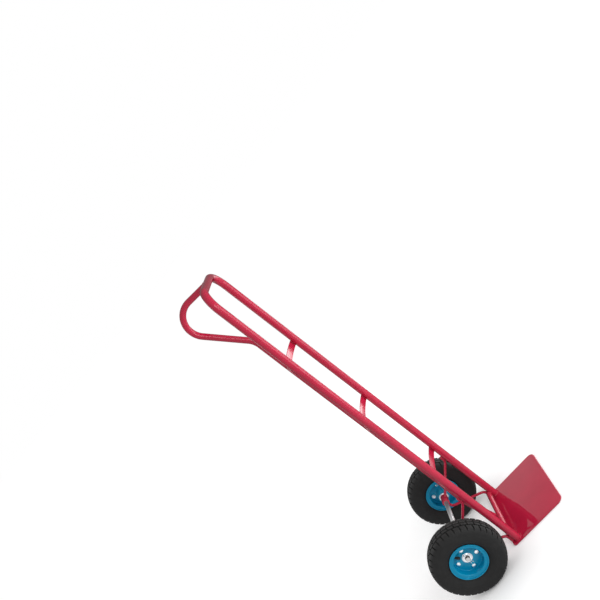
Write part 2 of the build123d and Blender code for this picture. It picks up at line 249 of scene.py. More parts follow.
def bent_path(corners, radii):
    """Points along straight runs that are joined by tangent arcs."""
    corners = [Vector(c) for c in corners]
    points = [corners[0]]
    for before, corner, after, radius in zip(corners, corners[1:], corners[2:], radii):
        back = (before - corner).normalized()
        ahead = (after - corner).normalized()
        half = back.angle(ahead) / 2
        centre = corner + (back + ahead).normalized() * radius / sin(half)
        arm = corner + back * radius / tan(half) - centre
        turn = pi - 2 * half
        axis = arm.cross(-back).normalized()
        count = max(2, ceil(turn / ARC_STEP))
        for step in range(count + 1):
            points.append(centre + Matrix.Rotation(turn * step / count, 3, axis) @ arm)
    points.append(corners[-1])
    return points


def circle(radius, sides=TUBE_SIDES):
    return [(radius * cos(2 * pi * k / sides), radius * sin(2 * pi * k / sides)) for k in range(sides)]


def rounded_outline(width, height, radius):
    """Rectangle with rounded corners round the origin."""
    outline = []
    for quarter, (sx, sy) in enumerate(((1, 1), (-1, 1), (-1, -1), (1, -1))):
        for step in range(EDGE_STEPS + 1):
            angle = (quarter + step / EDGE_STEPS) * pi / 2
            a = sx * (width / 2 - radius) + radius * cos(angle)
            b = sy * (height / 2 - radius) + radius * sin(angle)
            outline.append((a, b))
    return outline


def directions(path):
    """Unit direction of the path at each of its points."""
    last = len(path) - 1
    return [(path[min(i + 1, last)] - path[max(i - 1, 0)]).normalized() for i in range(last + 1)]


def ring_at(place, direction, normal, outline, scale=1.0):
    """An outline set square to a direction; its first axis lies along the normal."""
    side = direction.cross(normal).normalized()
    across = side.cross(direction).normalized()
    return [place + (across * a + side * b) * scale for a, b in outline]


def loft(rings, closed=False):
    """Vertices and faces of a skin through rings of equal size, capped if it isn't closed."""
    size = len(rings[0])
    verts = [point for ring in rings for point in ring]
    faces = []
    for i in range(len(rings) if closed else len(rings) - 1):
        j = (i + 1) % len(rings)
        for k in range(size):
            n = (k + 1) % size
            faces.append((i * size + k, i * size + n, j * size + n, j * size + k))
    if not closed:
        faces.append(tuple(range(size)))
        faces.append(tuple(range(len(verts) - size, len(verts))))
    return verts, faces


def joined(*parts):
    """Several vertex and face lists as one."""
    verts = []
    faces = []
    for part_verts, part_faces in parts:
        start = len(verts)
        verts.extend(part_verts)
        faces.extend(tuple(start + i for i in face) for face in part_faces)
    return verts, faces


def swept(path, outline, normal):
    """Solid of an outline carried along a path that lies square to the normal."""
    return loft([ring_at(p, d, normal, outline) for p, d in zip(path, directions(path))])


def open_tube(path, diameter, normal):
    """Round tube with its bore showing at both ends."""
    outer_r = diameter / 2
    bore_r = outer_r - TUBE_WALL
    ends = [(BORE_DEPTH, bore_r), (0, bore_r), (0, outer_r - TUBE_LIP), (TUBE_LIP, outer_r)]
    facing = directions(path)
    rings = []
    for inset, radius in ends:
        rings.append(ring_at(path[0] + facing[0] * inset, facing[0], normal, circle(radius)))
    for place, direction in zip(path[1:-1], facing[1:-1]):
        rings.append(ring_at(place, direction, normal, circle(outer_r)))
    for inset, radius in reversed(ends):
        rings.append(ring_at(path[-1] - facing[-1] * inset, facing[-1], normal, circle(radius)))
    return loft(rings)


def turned(section):
    """Ring turned round X from points of (x, radius)."""
    rings = []
    for k in range(TURNED_SIDES):
        angle = 2 * pi * k / TURNED_SIDES
        rings.append([Vector((x, r * cos(angle), r * sin(angle))) for x, r in section])
    return loft(rings, closed=True)


def moved(part, matrix):
    verts, faces = part
    return [matrix @ Vector(v) for v in verts], faces


def piece(name, part, slot, body="frame", replaced=(), material=None):
    """Adds a mesh that rides on a body, in its slot's material or its own, in place of CAD nodes."""
    verts, faces = part
    mesh = bpy.data.meshes.new(name)
    mesh.from_pydata([tuple(v) for v in verts], [], faces)
    work = bmesh.new()
    work.from_mesh(mesh)
    bmesh.ops.recalc_face_normals(work, faces=work.faces)
    for face in work.faces:
        face.smooth = True
    for edge in work.edges:
        edge.smooth = edge.calc_face_angle(0) < SHARP_ANGLE
    work.to_mesh(mesh)
    work.free()
    obj = bpy.data.objects.new(name, mesh)
    bpy.context.scene.collection.objects.link(obj)
    mesh.materials.append(material or MATERIALS[slot])
    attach(obj, body)
    if replaced:
        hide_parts(*replaced)


# Materials

class Shader:
    """A principled material with helpers for the nodes that feed it."""

    def __init__(self, name, **values):
        self.material = bpy.data.materials.new(name)
        self.material.use_nodes = True
        self.tree = self.material.node_tree
        self.surface = self.tree.nodes["Principled BSDF"]
        for socket, value in values.items():
            self.surface.inputs[socket.replace("_", " ")].default_value = value
        coordinates = self.tree.nodes.new("ShaderNodeTexCoord")
        self.place = coordinates.outputs["Object"]

    def link(self, source, node, socket):
        self.tree.links.new(source, node.inputs[socket])

    def noise(self, scale, detail, roughness=0.55, stretch=None):
        """Noise by position in the object, per metre, drawn out along an axis by stretch."""
        node = self.tree.nodes.new("ShaderNodeTexNoise")
        node.inputs["Scale"].default_value = scale
        node.inputs["Detail"].default_value = detail
        node.inputs["Roughness"].default_value = roughness
        place = self.place
        if stretch:
            mapping = self.tree.nodes.new("ShaderNodeMapping")
            mapping.inputs["Scale"].default_value = stretch
            self.link(place, mapping, "Vector")
            place = mapping.outputs["Vector"]
        self.link(place, node, "Vector")
        return node.outputs["Fac"]

    def ramp(self, source, low, high, colours):
        """Colours spread over a source's range from low to high."""
        node = self.tree.nodes.new("ShaderNodeValToRGB")
        stops = node.color_ramp.elements
        for index, colour in enumerate(colours):
            place = low + (high - low) * index / (len(colours) - 1)
            stop = stops[index] if index < 2 else stops.new(place)
            stop.position = place
            stop.color = (*colour, 1)
        self.link(source, node, "Fac")
        return node.outputs["Color"]

    def mottled(self, source, colour, dark, light):
        """A colour that a noise makes darker and lighter."""
        return self.ramp(source, *NOISE_RANGE, [scaled(colour, dark), colour, scaled(colour, light)])

    def spread(self, source, low, high):
        """A source from 0 to 1 spread from low to high."""
        node = self.tree.nodes.new("ShaderNodeMapRange")
        node.inputs["To Min"].default_value = low
        node.inputs["To Max"].default_value = high
        self.link(source, node, "Value")
        return node.outputs["Result"]

    def window(self, source, low, high):
        """0 up to a source's value of low, and 1 from high."""
        node = self.tree.nodes.new("ShaderNodeMapRange")
        node.inputs["From Min"].default_value = low
        node.inputs["From Max"].default_value = high
        self.link(source, node, "Value")
        return node.outputs["Result"]

    def blend(self, first, second, share, mode="MIX"):
        node = self.tree.nodes.new("ShaderNodeMix")
        node.data_type = "RGBA"
        node.blend_type = mode
        self.link(share, node, "Factor")
        self.link(first, node, MIX_FIRST)
        self.link(second, node, MIX_SECOND)
        return node.outputs[MIX_RESULT]

    def edges(self, low, high):
        """1 on sharp convex edges and 0 on flat faces."""
        geometry = self.tree.nodes.new("ShaderNodeNewGeometry")
        return self.window(geometry.outputs["Pointiness"], low, high)

    def grazing(self, low, high):
        """0 where a surface faces the viewer and 1 where it turns away."""
        weight = self.tree.nodes.new("ShaderNodeLayerWeight")
        return self.window(weight.outputs["Facing"], low, high)

    def beyond(self, start, full):
        """0 up to a distance from the middle plane along X, and 1 from another."""
        split = self.tree.nodes.new("ShaderNodeSeparateXYZ")
        self.link(self.place, split, "Vector")
        distance = self.tree.nodes.new("ShaderNodeMath")
        distance.operation = "ABSOLUTE"
        self.link(split.outputs["X"], distance, 0)
        return self.window(distance.outputs["Value"], start, full)

    def colour(self, source):
        self.link(source, self.surface, "Base Color")

    def roughness(self, source):
        self.link(source, self.surface, "Roughness")

    def bump(self, source, strength, distance):
        node = self.tree.nodes.new("ShaderNodeBump")
        node.inputs["Strength"].default_value = strength
        node.inputs["Distance"].default_value = distance
        self.link(source, node, "Height")
        self.link(node.outputs["Normal"], self.surface, "Normal")


def scaled(colour, factor):
    return tuple(min(1.0, channel * factor) for channel in colour)


def enamel(name, colour, worn, gloss, haze, limb_shade=1.0):
    """Sprayed paint: slight unevenness of colour and gloss, orange peel, paler worn edges.

    The limb shade is how much colour and gloss are left where the paint turns away from the viewer: a painted
    shade.
    """
    paint = Shader(name, Coat_Weight=gloss, Coat_Roughness=haze, Specular_IOR_Level=0.0)
    cloud = paint.noise(scale=9, detail=4)
    body = paint.mottled(cloud, colour, dark=0.92, light=1.08)
    edge = paint.ramp(cloud, *NOISE_RANGE, [worn, scaled(worn, 1.15)])
    sprayed = paint.blend(body, edge, paint.edges(low=0.54, high=0.66))
    if limb_shade < 1:
        # Painted shade: the colour darkens where the paint turns away from the viewer, and the gloss fades there
        limb_shade_mask = paint.grazing(low=0.3, high=0.75)
        shade = paint.ramp(limb_shade_mask, 0, 1, [(1, 1, 1), (limb_shade, limb_shade, limb_shade)])
        sprayed = paint.blend(sprayed, shade, limb_shade_mask, "MULTIPLY")
        paint.link(paint.spread(limb_shade_mask, gloss, gloss * limb_shade), paint.surface, "Coat Weight")
    paint.colour(sprayed)
    paint.roughness(paint.spread(paint.noise(scale=35, detail=5), low=0.3, high=0.42))
    paint.bump(paint.noise(scale=260, detail=2), strength=0.015, distance=0.3 * MM)
    return paint.material


def plated(name, colour, rough_low, rough_high):
    """Zinc plate or ground steel: fine mottling in colour and gloss."""
    metal = Shader(name, Metallic=1.0)
    mottle = metal.noise(scale=380, detail=5)
    metal.colour(metal.mottled(mottle, colour, dark=0.82, light=1.08))
    metal.roughness(metal.spread(metal.noise(scale=160, detail=4), rough_low, rough_high))
    metal.bump(metal.noise(scale=1500, detail=3), strength=0.06, distance=0.1 * MM)
    return metal.material


def drawn_bar(name, colour, side_shade, stain):
    """Drawn steel: fine lines along X, faint stains, and painted shade on the side outside the wheels but not on
    the end faces.
    """
    metal = Shader(name, Metallic=1.0)
    lines = metal.noise(scale=900, detail=4, stretch=(0.01, 1, 1))
    stains = metal.noise(scale=28, detail=5)
    streaked = metal.mottled(lines, colour, dark=0.8, light=1.12)
    stained = metal.ramp(stains, low=0.35, high=0.75, colours=[(1, 1, 1), stain])
    bar = metal.blend(streaked, stained, metal.spread(stains, low=0.4, high=0.9), "MULTIPLY")
    # Painted shade: the axle's side is darkened outside the washers, the end face is left clean of it
    shaded_side = metal.ramp(lines, *NOISE_RANGE, [scaled(side_shade, 0.7), side_shade])
    side_shaded = metal.blend(bar, shaded_side, metal.beyond(SIDE_SHADE_X, SIDE_SHADE_X + SIDE_SHADE_FADE))
    axle_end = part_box("axle")[1].x
    on_end_face = metal.beyond(axle_end - END_FACE_FROM, axle_end - END_FACE_TO)
    metal.colour(metal.blend(side_shaded, bar, on_end_face))
    metal.roughness(metal.spread(lines, low=0.28, high=0.5))
    metal.bump(lines, strength=0.12, distance=0.1 * MM)
    return metal.material


def rubber(name, colour, dust_and_glint, rough_low, rough_high):
    """Moulded rubber or plastic: matt, with a paler bloom on its edges: dust, and on the tyre's lugs also a
    painted highlight.
    """
    skin = Shader(name, Specular_IOR_Level=0.25)
    patches = skin.noise(scale=22, detail=6, roughness=0.6)
    body = skin.mottled(patches, colour, dark=0.8, light=1.2)
    edge_dust_and_glint = skin.ramp(patches, low=0.4, high=0.8, colours=[colour, dust_and_glint])
    # Paler on sharp edges: dust, and on the tyre's lug edges a painted highlight as well
    skin.colour(skin.blend(body, edge_dust_and_glint, skin.edges(low=0.52, high=0.62)))
    skin.roughness(skin.spread(skin.noise(scale=60, detail=5), rough_low, rough_high))
    skin.bump(skin.noise(scale=1300, detail=4), strength=0.25, distance=0.15 * MM)
    return skin.material


RED = (0.47, 0.012, 0.047)
WORN_RED = (0.55, 0.05, 0.085)
BLUE = (0.001, 0.27, 0.47)
WORN_BLUE = (0.03, 0.36, 0.54)
STEEL = (0.60, 0.60, 0.61)
SHADED_SIDE_STEEL = (0.10, 0.095, 0.09)
STEEL_STAIN = (0.9, 0.87, 0.82)
ZINC = (0.84, 0.85, 0.87)
GROUND_STEEL = (0.70, 0.70, 0.72)
TYRE_BLACK = (0.013, 0.013, 0.013)
TYRE_DUST_AND_GLINT = (0.055, 0.053, 0.05)
TUBE_BLACK = (0.014, 0.014, 0.014)
TUBE_DUST = (0.03, 0.03, 0.03)
STEM_BLACK = (0.008, 0.008, 0.008)
CAP_BLACK = (0.007, 0.007, 0.008)
VALVE_DUST = (0.02, 0.02, 0.02)

MATERIALS = {
    "red_paint": enamel("red_enamel", RED, WORN_RED, gloss=0.55, haze=0.13, limb_shade=0.48),
    "blue_paint": enamel("blue_enamel", BLUE, WORN_BLUE, gloss=0.35, haze=0.12),
    "axle_steel": drawn_bar("drawn_steel", STEEL, SHADED_SIDE_STEEL, STEEL_STAIN),
    "zinc_plate": plated("zinc", ZINC, rough_low=0.2, rough_high=0.38),
    "bearing_steel": plated("ground_steel", GROUND_STEEL, rough_low=0.1, rough_high=0.22),
    "tyre_rubber": rubber("tyre_rubber", TYRE_BLACK, TYRE_DUST_AND_GLINT, rough_low=0.6, rough_high=0.85),
    "tube_rubber": rubber("tube_rubber", TUBE_BLACK, TUBE_DUST, rough_low=0.4, rough_high=0.6),
    "valve_rubber": rubber("valve_rubber", STEM_BLACK, VALVE_DUST, rough_low=0.4, rough_high=0.6),
    "valve_plastic": rubber("valve_plastic", CAP_BLACK, VALVE_DUST, rough_low=0.3, rough_high=0.5),
}

# The same red, as it shines on the flat plate and on the bowed bars
PLATE_RED = enamel("plate_red_enamel", RED, WORN_RED, gloss=0.65, haze=0.04)
BAR_RED = enamel("bar_red_enamel", RED, WORN_RED, gloss=1.0, haze=0.2)

for row in frame["record"]["subparts"]:
    node_mesh = frame["nodes"][row["node"]].data
    node_mesh.materials.clear()
    node_mesh.materials.append(MATERIALS[row["material_slot"]])


# Frame pieces

def rails_and_top_bar():
    corners = [
        (-rail_x, 0, plate_high.z),
        (-rail_x, 0, top_bar_z),
        (rail_x, 0, top_bar_z),
        (rail_x, 0, plate_high.z),
    ]
    path = bent_path(corners, [TOP_BEND_R, TOP_BEND_R])
    piece("rails_and_top_bar", swept(path, circle(rail_r), Vector((0, 1, 0))), "red_paint",
          replaced=["main_frame_tube"])


def loop_corners():
    """Corners of the loop handle and the spine, from the top bar to the bottom bar."""
    crown_slope = tan(LOOP_CROWN_RISE)
    arm_slope = 1 / tan(ARM_LEAN)
    front_z = LOOP_CROWN_Z - crown_slope * LOOP_BEND_R
    corner_y = (front_z - ARM_FOOT_Z + arm_slope * SPINE_Y) / (arm_slope - crown_slope)
    return [
        Vector((0, 0, front_z)),
        Vector((0, corner_y, front_z + crown_slope * corner_y)),
        Vector((0, SPINE_Y, ARM_FOOT_Z)),
        Vector((0, SPINE_Y, SPINE_KNEE_Z)),
        SPINE_FOOT,
    ]


def loop_and_spine():
    path = bent_path(loop_corners(), [LOOP_BEND_R, ARM_BEND_R, SPINE_KNEE_R])
    piece("loop_handle_and_spine", open_tube(path, HANDLE_D, Vector((1, 0, 0))), "red_paint",
          replaced=["loop_handle_tube"])


def flat_bar_arc(node):
    """Middle line of a bowed flat bar."""
    low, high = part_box(node)
    half_length = high.x
    mid_y = high.y - FLAT_THICKNESS / 2
    end_y = rail_r + FLAT_THICKNESS / 2
    bow = mid_y - end_y
    bow_r = (rail_x**2 + bow**2) / (2 * bow)
    height = (low.z + high.z) / 2
    reach = asin(half_length / bow_r)
    count = ceil(2 * reach / FLAT_BAR_STEP)
    angles = [-reach + 2 * reach * k / count for k in range(count + 1)]
    return [Vector((bow_r * sin(a), mid_y - bow_r + bow_r * cos(a), height)) for a in angles]


def flat_bars():
    for level in LEVELS:
        node = f"{level}_crossbar"
        low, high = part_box(node)
        outline = rounded_outline(high.z - low.z, FLAT_THICKNESS, FLAT_EDGE_R)
        bar = swept(flat_bar_arc(node), outline, Vector((0, 0, 1)))
        piece(f"{level}_flat_bar", bar, "red_paint", replaced=[node], material=BAR_RED)


def plate_outline(inset, height):
    """Ring of points round the toe plate, with rounded corners, drawn in by an inset."""
    corners = [
        (plate_low.x, plate_low.y, PLATE_CORNER_R),
        (plate_high.x, plate_low.y, PLATE_CORNER_R),
        (plate_high.x, plate_high.y, PLATE_INNER_CORNER_R),
        (plate_low.x, plate_high.y, PLATE_INNER_CORNER_R),
    ]
    ring = []
    for index, (x, y, radius) in enumerate(corners):
        centre_x = x - radius if x > 0 else x + radius
        centre_y = y - radius if y > 0 else y + radius
        reach = radius - inset
        for step in range(PLATE_CORNER_STEPS + 1):
            angle = pi + index * pi / 2 + step / PLATE_CORNER_STEPS * pi / 2
            place = (centre_x + reach * cos(angle), centre_y + reach * sin(angle), height)
            ring.append(Vector(place))
    return ring


def toe_plate():
    """Plate with rounded corners and eased edges."""
    angles = [step / EDGE_STEPS * pi / 2 for step in range(EDGE_STEPS + 1)]
    rings = []
    for angle in angles:
        height = plate_low.z + PLATE_EDGE_R * (1 - cos(angle))
        rings.append(plate_outline(PLATE_EDGE_R * (1 - sin(angle)), height))
    for angle in angles:
        height = plate_high.z - PLATE_EDGE_R * (1 - sin(angle))
        rings.append(plate_outline(PLATE_EDGE_R * (1 - cos(angle)), height))
    piece("toe_plate_rounded", loft(rings), "red_paint", replaced=["toe_plate"], material=PLATE_RED)


# Weld beads

def bead(path, radius=BEAD_R):
    """Rippled bead of weld along a path, thin at its ends."""
    rings = []
    run = 0.0
    for index, (place, direction) in enumerate(zip(path, directions(path))):
        if index:
            run += (place - path[index - 1]).length
        swell = 1 + BEAD_RIPPLE * sin(2 * pi * run / BEAD_PITCH)
        if index in (0, len(path) - 1):
            swell = BEAD_END_SCALE
        normal = Vector((1, 0, 0)) if abs(direction.x) < NEARLY_ALONG else Vector((0, 0, 1))
        rings.append(ring_at(place, direction, normal, circle(radius, BEAD_SIDES), swell))
    return loft(rings)


def line(start, end):
    """Points along a straight line, close enough together for a bead's ripple."""
    start = Vector(start)
    end = Vector(end)
    count = ceil((end - start).length / BEAD_STEP)
    return [start.lerp(end, k / count) for k in range(count + 1)]


def seam(tube, tube_r, other, other_r, towards, half_span=pi, far=False):
    """Where a round tube's surface meets another's: points round the first tube.

    Each tube is a point on its middle line and a direction. The points lie within half_span
    of the side that faces towards, at the first or the far wall of the other tube.
    """
    point, direction = tube
    other_point, other_axis = other
    direction = direction.normalized()
    across = (towards - direction * towards.dot(direction)).normalized()
    side = direction.cross(across)
    flat_direction = direction - other_axis * direction.dot(other_axis)
    a = flat_direction.dot(flat_direction)
    count = ceil(2 * half_span * tube_r / BEAD_STEP)
    points = []
    for k in range(count + 1):
        angle = half_span * (2 * k / count - 1)
        base = point + (across * cos(angle) + side * sin(angle)) * tube_r
        offset = base - other_point
        flat_offset = offset - other_axis * offset.dot(other_axis)
        b = flat_offset.dot(flat_direction)
        c = flat_offset.dot(flat_offset) - other_r**2
        root = sqrt(max(0.0, b * b - a * c))
        run = (-b + root if far else -b - root) / a
        points.append(base + direction * run)
    return points


def foot_welds():
    """Round the front and sides of each rail's foot on the toe plate."""
    beads = []
    reach = rail_r + FOOT_BEAD_OUT
    height = plate_high.z + FOOT_BEAD_UP
    for x in (-rail_x, rail_x):
        count = ceil(2 * FOOT_BEAD_HALF_SPAN * reach / BEAD_STEP)
        angles = [-pi / 2 + FOOT_BEAD_HALF_SPAN * (2 * k / count - 1) for k in range(count + 1)]
        beads.append(bead([Vector((x + reach * cos(a), reach * sin(a), height)) for a in angles]))
    piece("welds_rail_feet", joined(*beads), "red_paint")


def flat_bar_welds():
    """Along both sides of each rail and of the spine, over the width of each flat bar."""
    beads = []
    spine_front = SPINE_Y - HANDLE_D / 2
    spots = [(-LAP_BEAD_X, spine_front), (LAP_BEAD_X, spine_front)]
    for side in SIDES.values():
        spots.append((side * (rail_x - FLAT_BEAD_INNER_X), rail_r))
        spots.append((side * (rail_x + FLAT_BEAD_END_X), rail_r))
    for level in LEVELS:
        low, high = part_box(f"{level}_crossbar")
        for x, y in spots:
            run = line((x, y, low.z + SMALL_BEAD_R), (x, y, high.z - SMALL_BEAD_R))
            beads.append(bead(run, SMALL_BEAD_R))
    piece("welds_flat_bars", joined(*beads), "red_paint")


def tube_welds():
    """Loop handle on the top bar, spine on the bottom bar, bottom bar on the rails."""
    along_x = Vector((1, 0, 0))
    upwards = Vector((0, 0, 1))
    forwards = Vector((0, -1, 0))
    loop_front, loop_corner, _, spine_knee, spine_foot = loop_corners()
    low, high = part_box("bottom_crossbar")
    bar_r = (high.z - low.z) / 2
    bottom_bar = (Vector((0, (low.y + high.y) / 2, (low.z + high.z) / 2)), along_x)
    top_bar = (Vector((0, 0, top_bar_z)), along_x)
    handle = (loop_front, loop_corner - loop_front)
    spine = (spine_foot, spine_knee - spine_foot)
    runs = [
        seam(handle, HANDLE_D / 2, top_bar, rail_r, upwards, far=True),
        seam(spine, HANDLE_D / 2, bottom_bar, bar_r, forwards, SPINE_BEAD_HALF_SPAN, far=True),
    ]
    for side in SIDES.values():
        rail = (Vector((side * rail_x, 0, 0)), upwards)
        bar = (bottom_bar[0], along_x * side)
        runs.append(seam(bar, bar_r, rail, rail_r, forwards, BAR_BEAD_HALF_SPAN))
    piece("welds_tubes", joined(*[bead(run, SMALL_BEAD_R) for run in runs]), "red_paint")


def strut_runs(side):
    """The runs of the upper and the lower strut that leave the axle on one side."""
    x = side * rail_x
    axle = Vector((x, axle_y, axle_z))
    upper_bend = Vector((x, strut_lap_y, STRUT_UPPER_BEND_Z))
    lower_knee = Vector((x, *STRUT_KNEE))
    return [(axle, upper_bend - axle), (axle, lower_knee - axle)]


def strut_welds():
    """Along both sides of each strut's lap on the rail, and round its end on the sleeve."""
    beads = []
    low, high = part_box("left_axle_sleeve")
    sleeve_r = (high.z - low.z) / 2
    sleeve = (Vector((0, axle_y, axle_z)), Vector((1, 0, 0)))
    laps = [
        (STRUT_UPPER_BEND_Z + LAP_BEAD_FROM_BEND, STRUT_TOP_Z - SMALL_BEAD_R),
        (STRUT_BOTTOM_Z + SMALL_BEAD_R, STRUT_LOWER_BEND_Z - LAP_BEAD_FROM_BEND),
    ]
    for side in SIDES.values():
        for x in (side * rail_x - LAP_BEAD_X, side * rail_x + LAP_BEAD_X):
            for z0, z1 in laps:
                beads.append(bead(line((x, rail_r, z0), (x, rail_r, z1)), SMALL_BEAD_R))
        for strut in strut_runs(side):
            run = seam(strut, STRUT_D / 2, sleeve, sleeve_r, sleeve[1], far=True)
            beads.append(bead(run, SMALL_BEAD_R))
    piece("welds_struts", joined(*beads), "red_paint")


# Wheel pieces, made with the outboard side towards +X and the axle along X

def arc_through(start, middle, end, count):
    """Points on the circle through three points of a section, ends included.

    The circle's centre is the circumcentre of the three points.
    """
    (ax, ay), (bx, by), (cx, cy) = start, middle, end
    a2 = ax * ax + ay * ay
    b2 = bx * bx + by * by
    c2 = cx * cx + cy * cy
    d = 2 * (ax * (by - cy) + bx * (cy - ay) + cx * (ay - by))
    centre_x = (a2 * (by - cy) + b2 * (cy - ay) + c2 * (ay - by)) / d
    centre_y = (a2 * (cx - bx) + b2 * (ax - cx) + c2 * (bx - ax)) / d
    centre = Vector((centre_x, centre_y))
    to_start, to_middle, to_end = (Vector(point) - centre for point in (start, middle, end))
    turn = to_start.angle_signed(to_middle) + to_middle.angle_signed(to_end)
    points = []
    for k in range(count + 1):
        points.append(tuple(centre + Matrix.Rotation(-turn * k / count, 2) @ to_start))
    return points


def tread_height(u):
    """Radius of the tread's crown at a distance from the middle plane."""
    sag = wheel_r - TREAD_EDGE[1]
    crown_r = (TREAD_EDGE[0]**2 + sag**2) / (2 * sag)
    return wheel_r - crown_r + sqrt(crown_r**2 - u**2)


def tyre_rows():
    """Half section from the tread's middle to the liner's.

    Each row is its x and radius, the depth of a groove along it, the depth of the grooves across it,
    and where it is: "inner" and "shoulder" rows are cut by the grooves of those blocks.
    """
    place = RING_GROOVE_PLACE
    half = RING_GROOVE_HALF
    wall = RING_WALL
    rows = []
    for u, ring_depth, where in (
        (0, TREAD_DEPTH, "inner"),
        (half, TREAD_DEPTH, "inner"),
        (half + wall, 0, "inner"),
        (place / 2, 0, "inner"),
        (place - half - wall, 0, "inner"),
        (place - half, TREAD_DEPTH, "inner"),
        (place + half, TREAD_DEPTH, "shoulder"),
        (place + half + wall, 0, "shoulder"),
        ((place + TREAD_EDGE[0]) / 2, 0, "shoulder"),
    ):
        rows.append((u, tread_height(u), ring_depth, TREAD_DEPTH, where))
    shoulder = arc_through(TREAD_EDGE, SHOULDER, SHOULDER_LOW, SHOULDER_STEPS)
    for u, r in shoulder:
        share = max(0, (r - LUG_END_R) / (TREAD_EDGE[1] - LUG_END_R))
        rows.append((u, r, 0, TREAD_DEPTH * share, "shoulder"))
    sidewall = arc_through(SHOULDER_LOW, SIDEWALL, FLANGE_TOP, SIDEWALL_STEPS)
    for u, r in sidewall[1:]:
        ridge = any(abs(r - ridge_r) < SIDE_RIDGE_HALF for ridge_r in SIDE_RIDGE_RADII)
        rows.append((u, r, -SIDE_RIDGE_HEIGHT if ridge else 0, 0, "side"))
    liner = arc_through(LINER_FOOT, LINER_SIDE, LINER_TOP, LINER_STEPS)
    other_top = (-LINER_TOP[0], LINER_TOP[1])
    crown = arc_through(LINER_TOP, (0, LINER_CROWN_R), other_top, LINER_STEPS)
    half_crown = crown[1:LINER_STEPS // 2 + 1]
    for u, r in (HEEL_SIDE, HEEL, TOE, *liner, *half_crown):
        rows.append((u, r, 0, 0, "inside"))
    return rows


def tread_columns():
    """Places round one lug's pitch, with the rows that are cut there, if any."""
    columns = [(middle, "") for middle in BLOCK_MIDDLES]
    for where, centre, half in (
        ("shoulder", SHOULDER_GROOVE_AT, SHOULDER_GROOVE_HALF),
        ("inner", INNER_GROOVE_AT, INNER_GROOVE_HALF),
    ):
        columns.append((centre - half - GROOVE_WALL, ""))
        columns.append((centre - half, where))
        columns.append((centre + half, where))
        columns.append((centre + half + GROOVE_WALL, ""))
    return sorted((phase % 1, where) for phase, where in columns)


def tyre():
    """Tyre with a tread of blocks cut by grooves along and across it."""
    rows = tyre_rows()
    mirrored = [(-u, *rest) for u, *rest in reversed(rows[1:-1])]
    section = rows + mirrored
    inwards = []
    for i in range(len(section)):
        before = section[i - 1]
        after = section[(i + 1) % len(section)]
        along = Vector((after[0] - before[0], after[1] - before[1])).normalized()
        inwards.append(Vector((along.y, -along.x)))
    rings = []
    for lug in range(LUGS):
        for phase, groove in tread_columns():
            ring = []
            for (u, r, ring_depth, cut_depth, where), inward in zip(section, inwards):
                depth = ring_depth
                if groove and groove == where:
                    depth = max(depth, cut_depth)
                slant = TREAD_SLANT * min(abs(u), TREAD_EDGE[0]) / TREAD_EDGE[0]
                angle = 2 * pi * (lug + phase + slant) / LUGS
                radius = r + inward.y * depth
                ring.append(Vector((u + inward.x * depth, radius * cos(angle), radius * sin(angle))))
            rings.append(ring)
    return loft(rings, closed=True)


def round_ring(x, radius):
    """Circle round the X axis."""
    return [Vector((x, a, b)) for a, b in circle(radius)]


def hexagon(x0, x1, cut_low, cut_high):
    """Rings of a hexagonal head or nut along X, chamfered at one end or the other."""
    flat = BOLT_HEX / 2
    top_r = HEX_TOP_SHARE * flat
    deep = (flat / cos(pi / 6) - top_r) * CHAMFER_SLOPE
    steps = [deep * k / CHAMFER_STEPS for k in range(CHAMFER_STEPS + 1)]
    stations = [x0 + s for s in steps] if cut_low else [x0]
    stations += [x1 - s for s in reversed(steps)] if cut_high else [x1]
    rings = []
    for x in stations:
        low_limit = top_r + (x - x0) / CHAMFER_SLOPE if cut_low else BOLT_HEX
        high_limit = top_r + (x1 - x) / CHAMFER_SLOPE if cut_high else BOLT_HEX
        ring = []
        for k in range(TUBE_SIDES):
            angle = 2 * pi * k / TUBE_SIDES
            hex_r = flat / cos((angle + pi / 6) % (pi / 3) - pi / 6)
            radius = min(hex_r, low_limit, high_limit)
            ring.append(Vector((x, radius * cos(angle), radius * sin(angle))))
        rings.append(ring)
    return rings


def bolt(tip_x):
    """Hexagonal head on the web's outer face, and a shank with its thread as ridges."""
    head_x = RIM_SHEET
    head = loft(hexagon(head_x, head_x + BOLT_HEAD_HEIGHT, cut_low=False, cut_high=True))
    radius = BOLT_D / 2
    core = radius - THREAD_DEPTH
    thread_x = tip_x + THREAD_DEPTH
    rings = [round_ring(tip_x, core - THREAD_DEPTH), round_ring(thread_x, core)]
    for k in range(int((head_x - thread_x) / THREAD_PITCH)):
        rings.append(round_ring(thread_x + (k + 0.5) * THREAD_PITCH, radius))
        rings.append(round_ring(thread_x + (k + 1) * THREAD_PITCH, core))
    rings.append(round_ring(head_x, core))
    return joined(head, loft(rings))


def nut(outer_x, inner_x):
    """Hexagonal nut with its bore, chamfered on its outer face."""
    bore = [round_ring(inner_x, BOLT_D / 2), round_ring(outer_x, BOLT_D / 2)]
    return loft(hexagon(outer_x, inner_x, cut_low=True, cut_high=False) + bore, closed=True)


def washer(thickness, outer_d):
    edge = WASHER_EDGE
    outer = outer_d / 2
    bore = WASHER_BORE_D / 2
    section = [
        (0, bore + edge), (0, outer - edge), (edge, outer), (thickness - edge, outer),
        (thickness, outer - edge), (thickness, bore + edge), (thickness - edge, bore), (edge, bore),
    ]
    return turned(section)


def valve_ring(y, section):
    """Ring of points round the valve's middle line, at a distance from the wheel's centre."""
    return [Vector((VALVE_X + across, y, along)) for across, along in section]


def valve_stem():
    """Straight rubber stem with ribs all along, from the rim towards the hub along -Y."""
    rings = []
    ribs = round((VALVE_ROOT_R - VALVE_TIP_R) / VALVE_RIB_WIDTH)
    for index in range(ribs):
        radius = VALVE_D / 2 - VALVE_RIB_DEPTH * (index % 2)
        for edge in (index, index + 1):
            y = VALVE_ROOT_R + (VALVE_TIP_R - VALVE_ROOT_R) * edge / ribs
            rings.append(valve_ring(y, circle(radius, VALVE_SIDES)))
    return loft(rings)


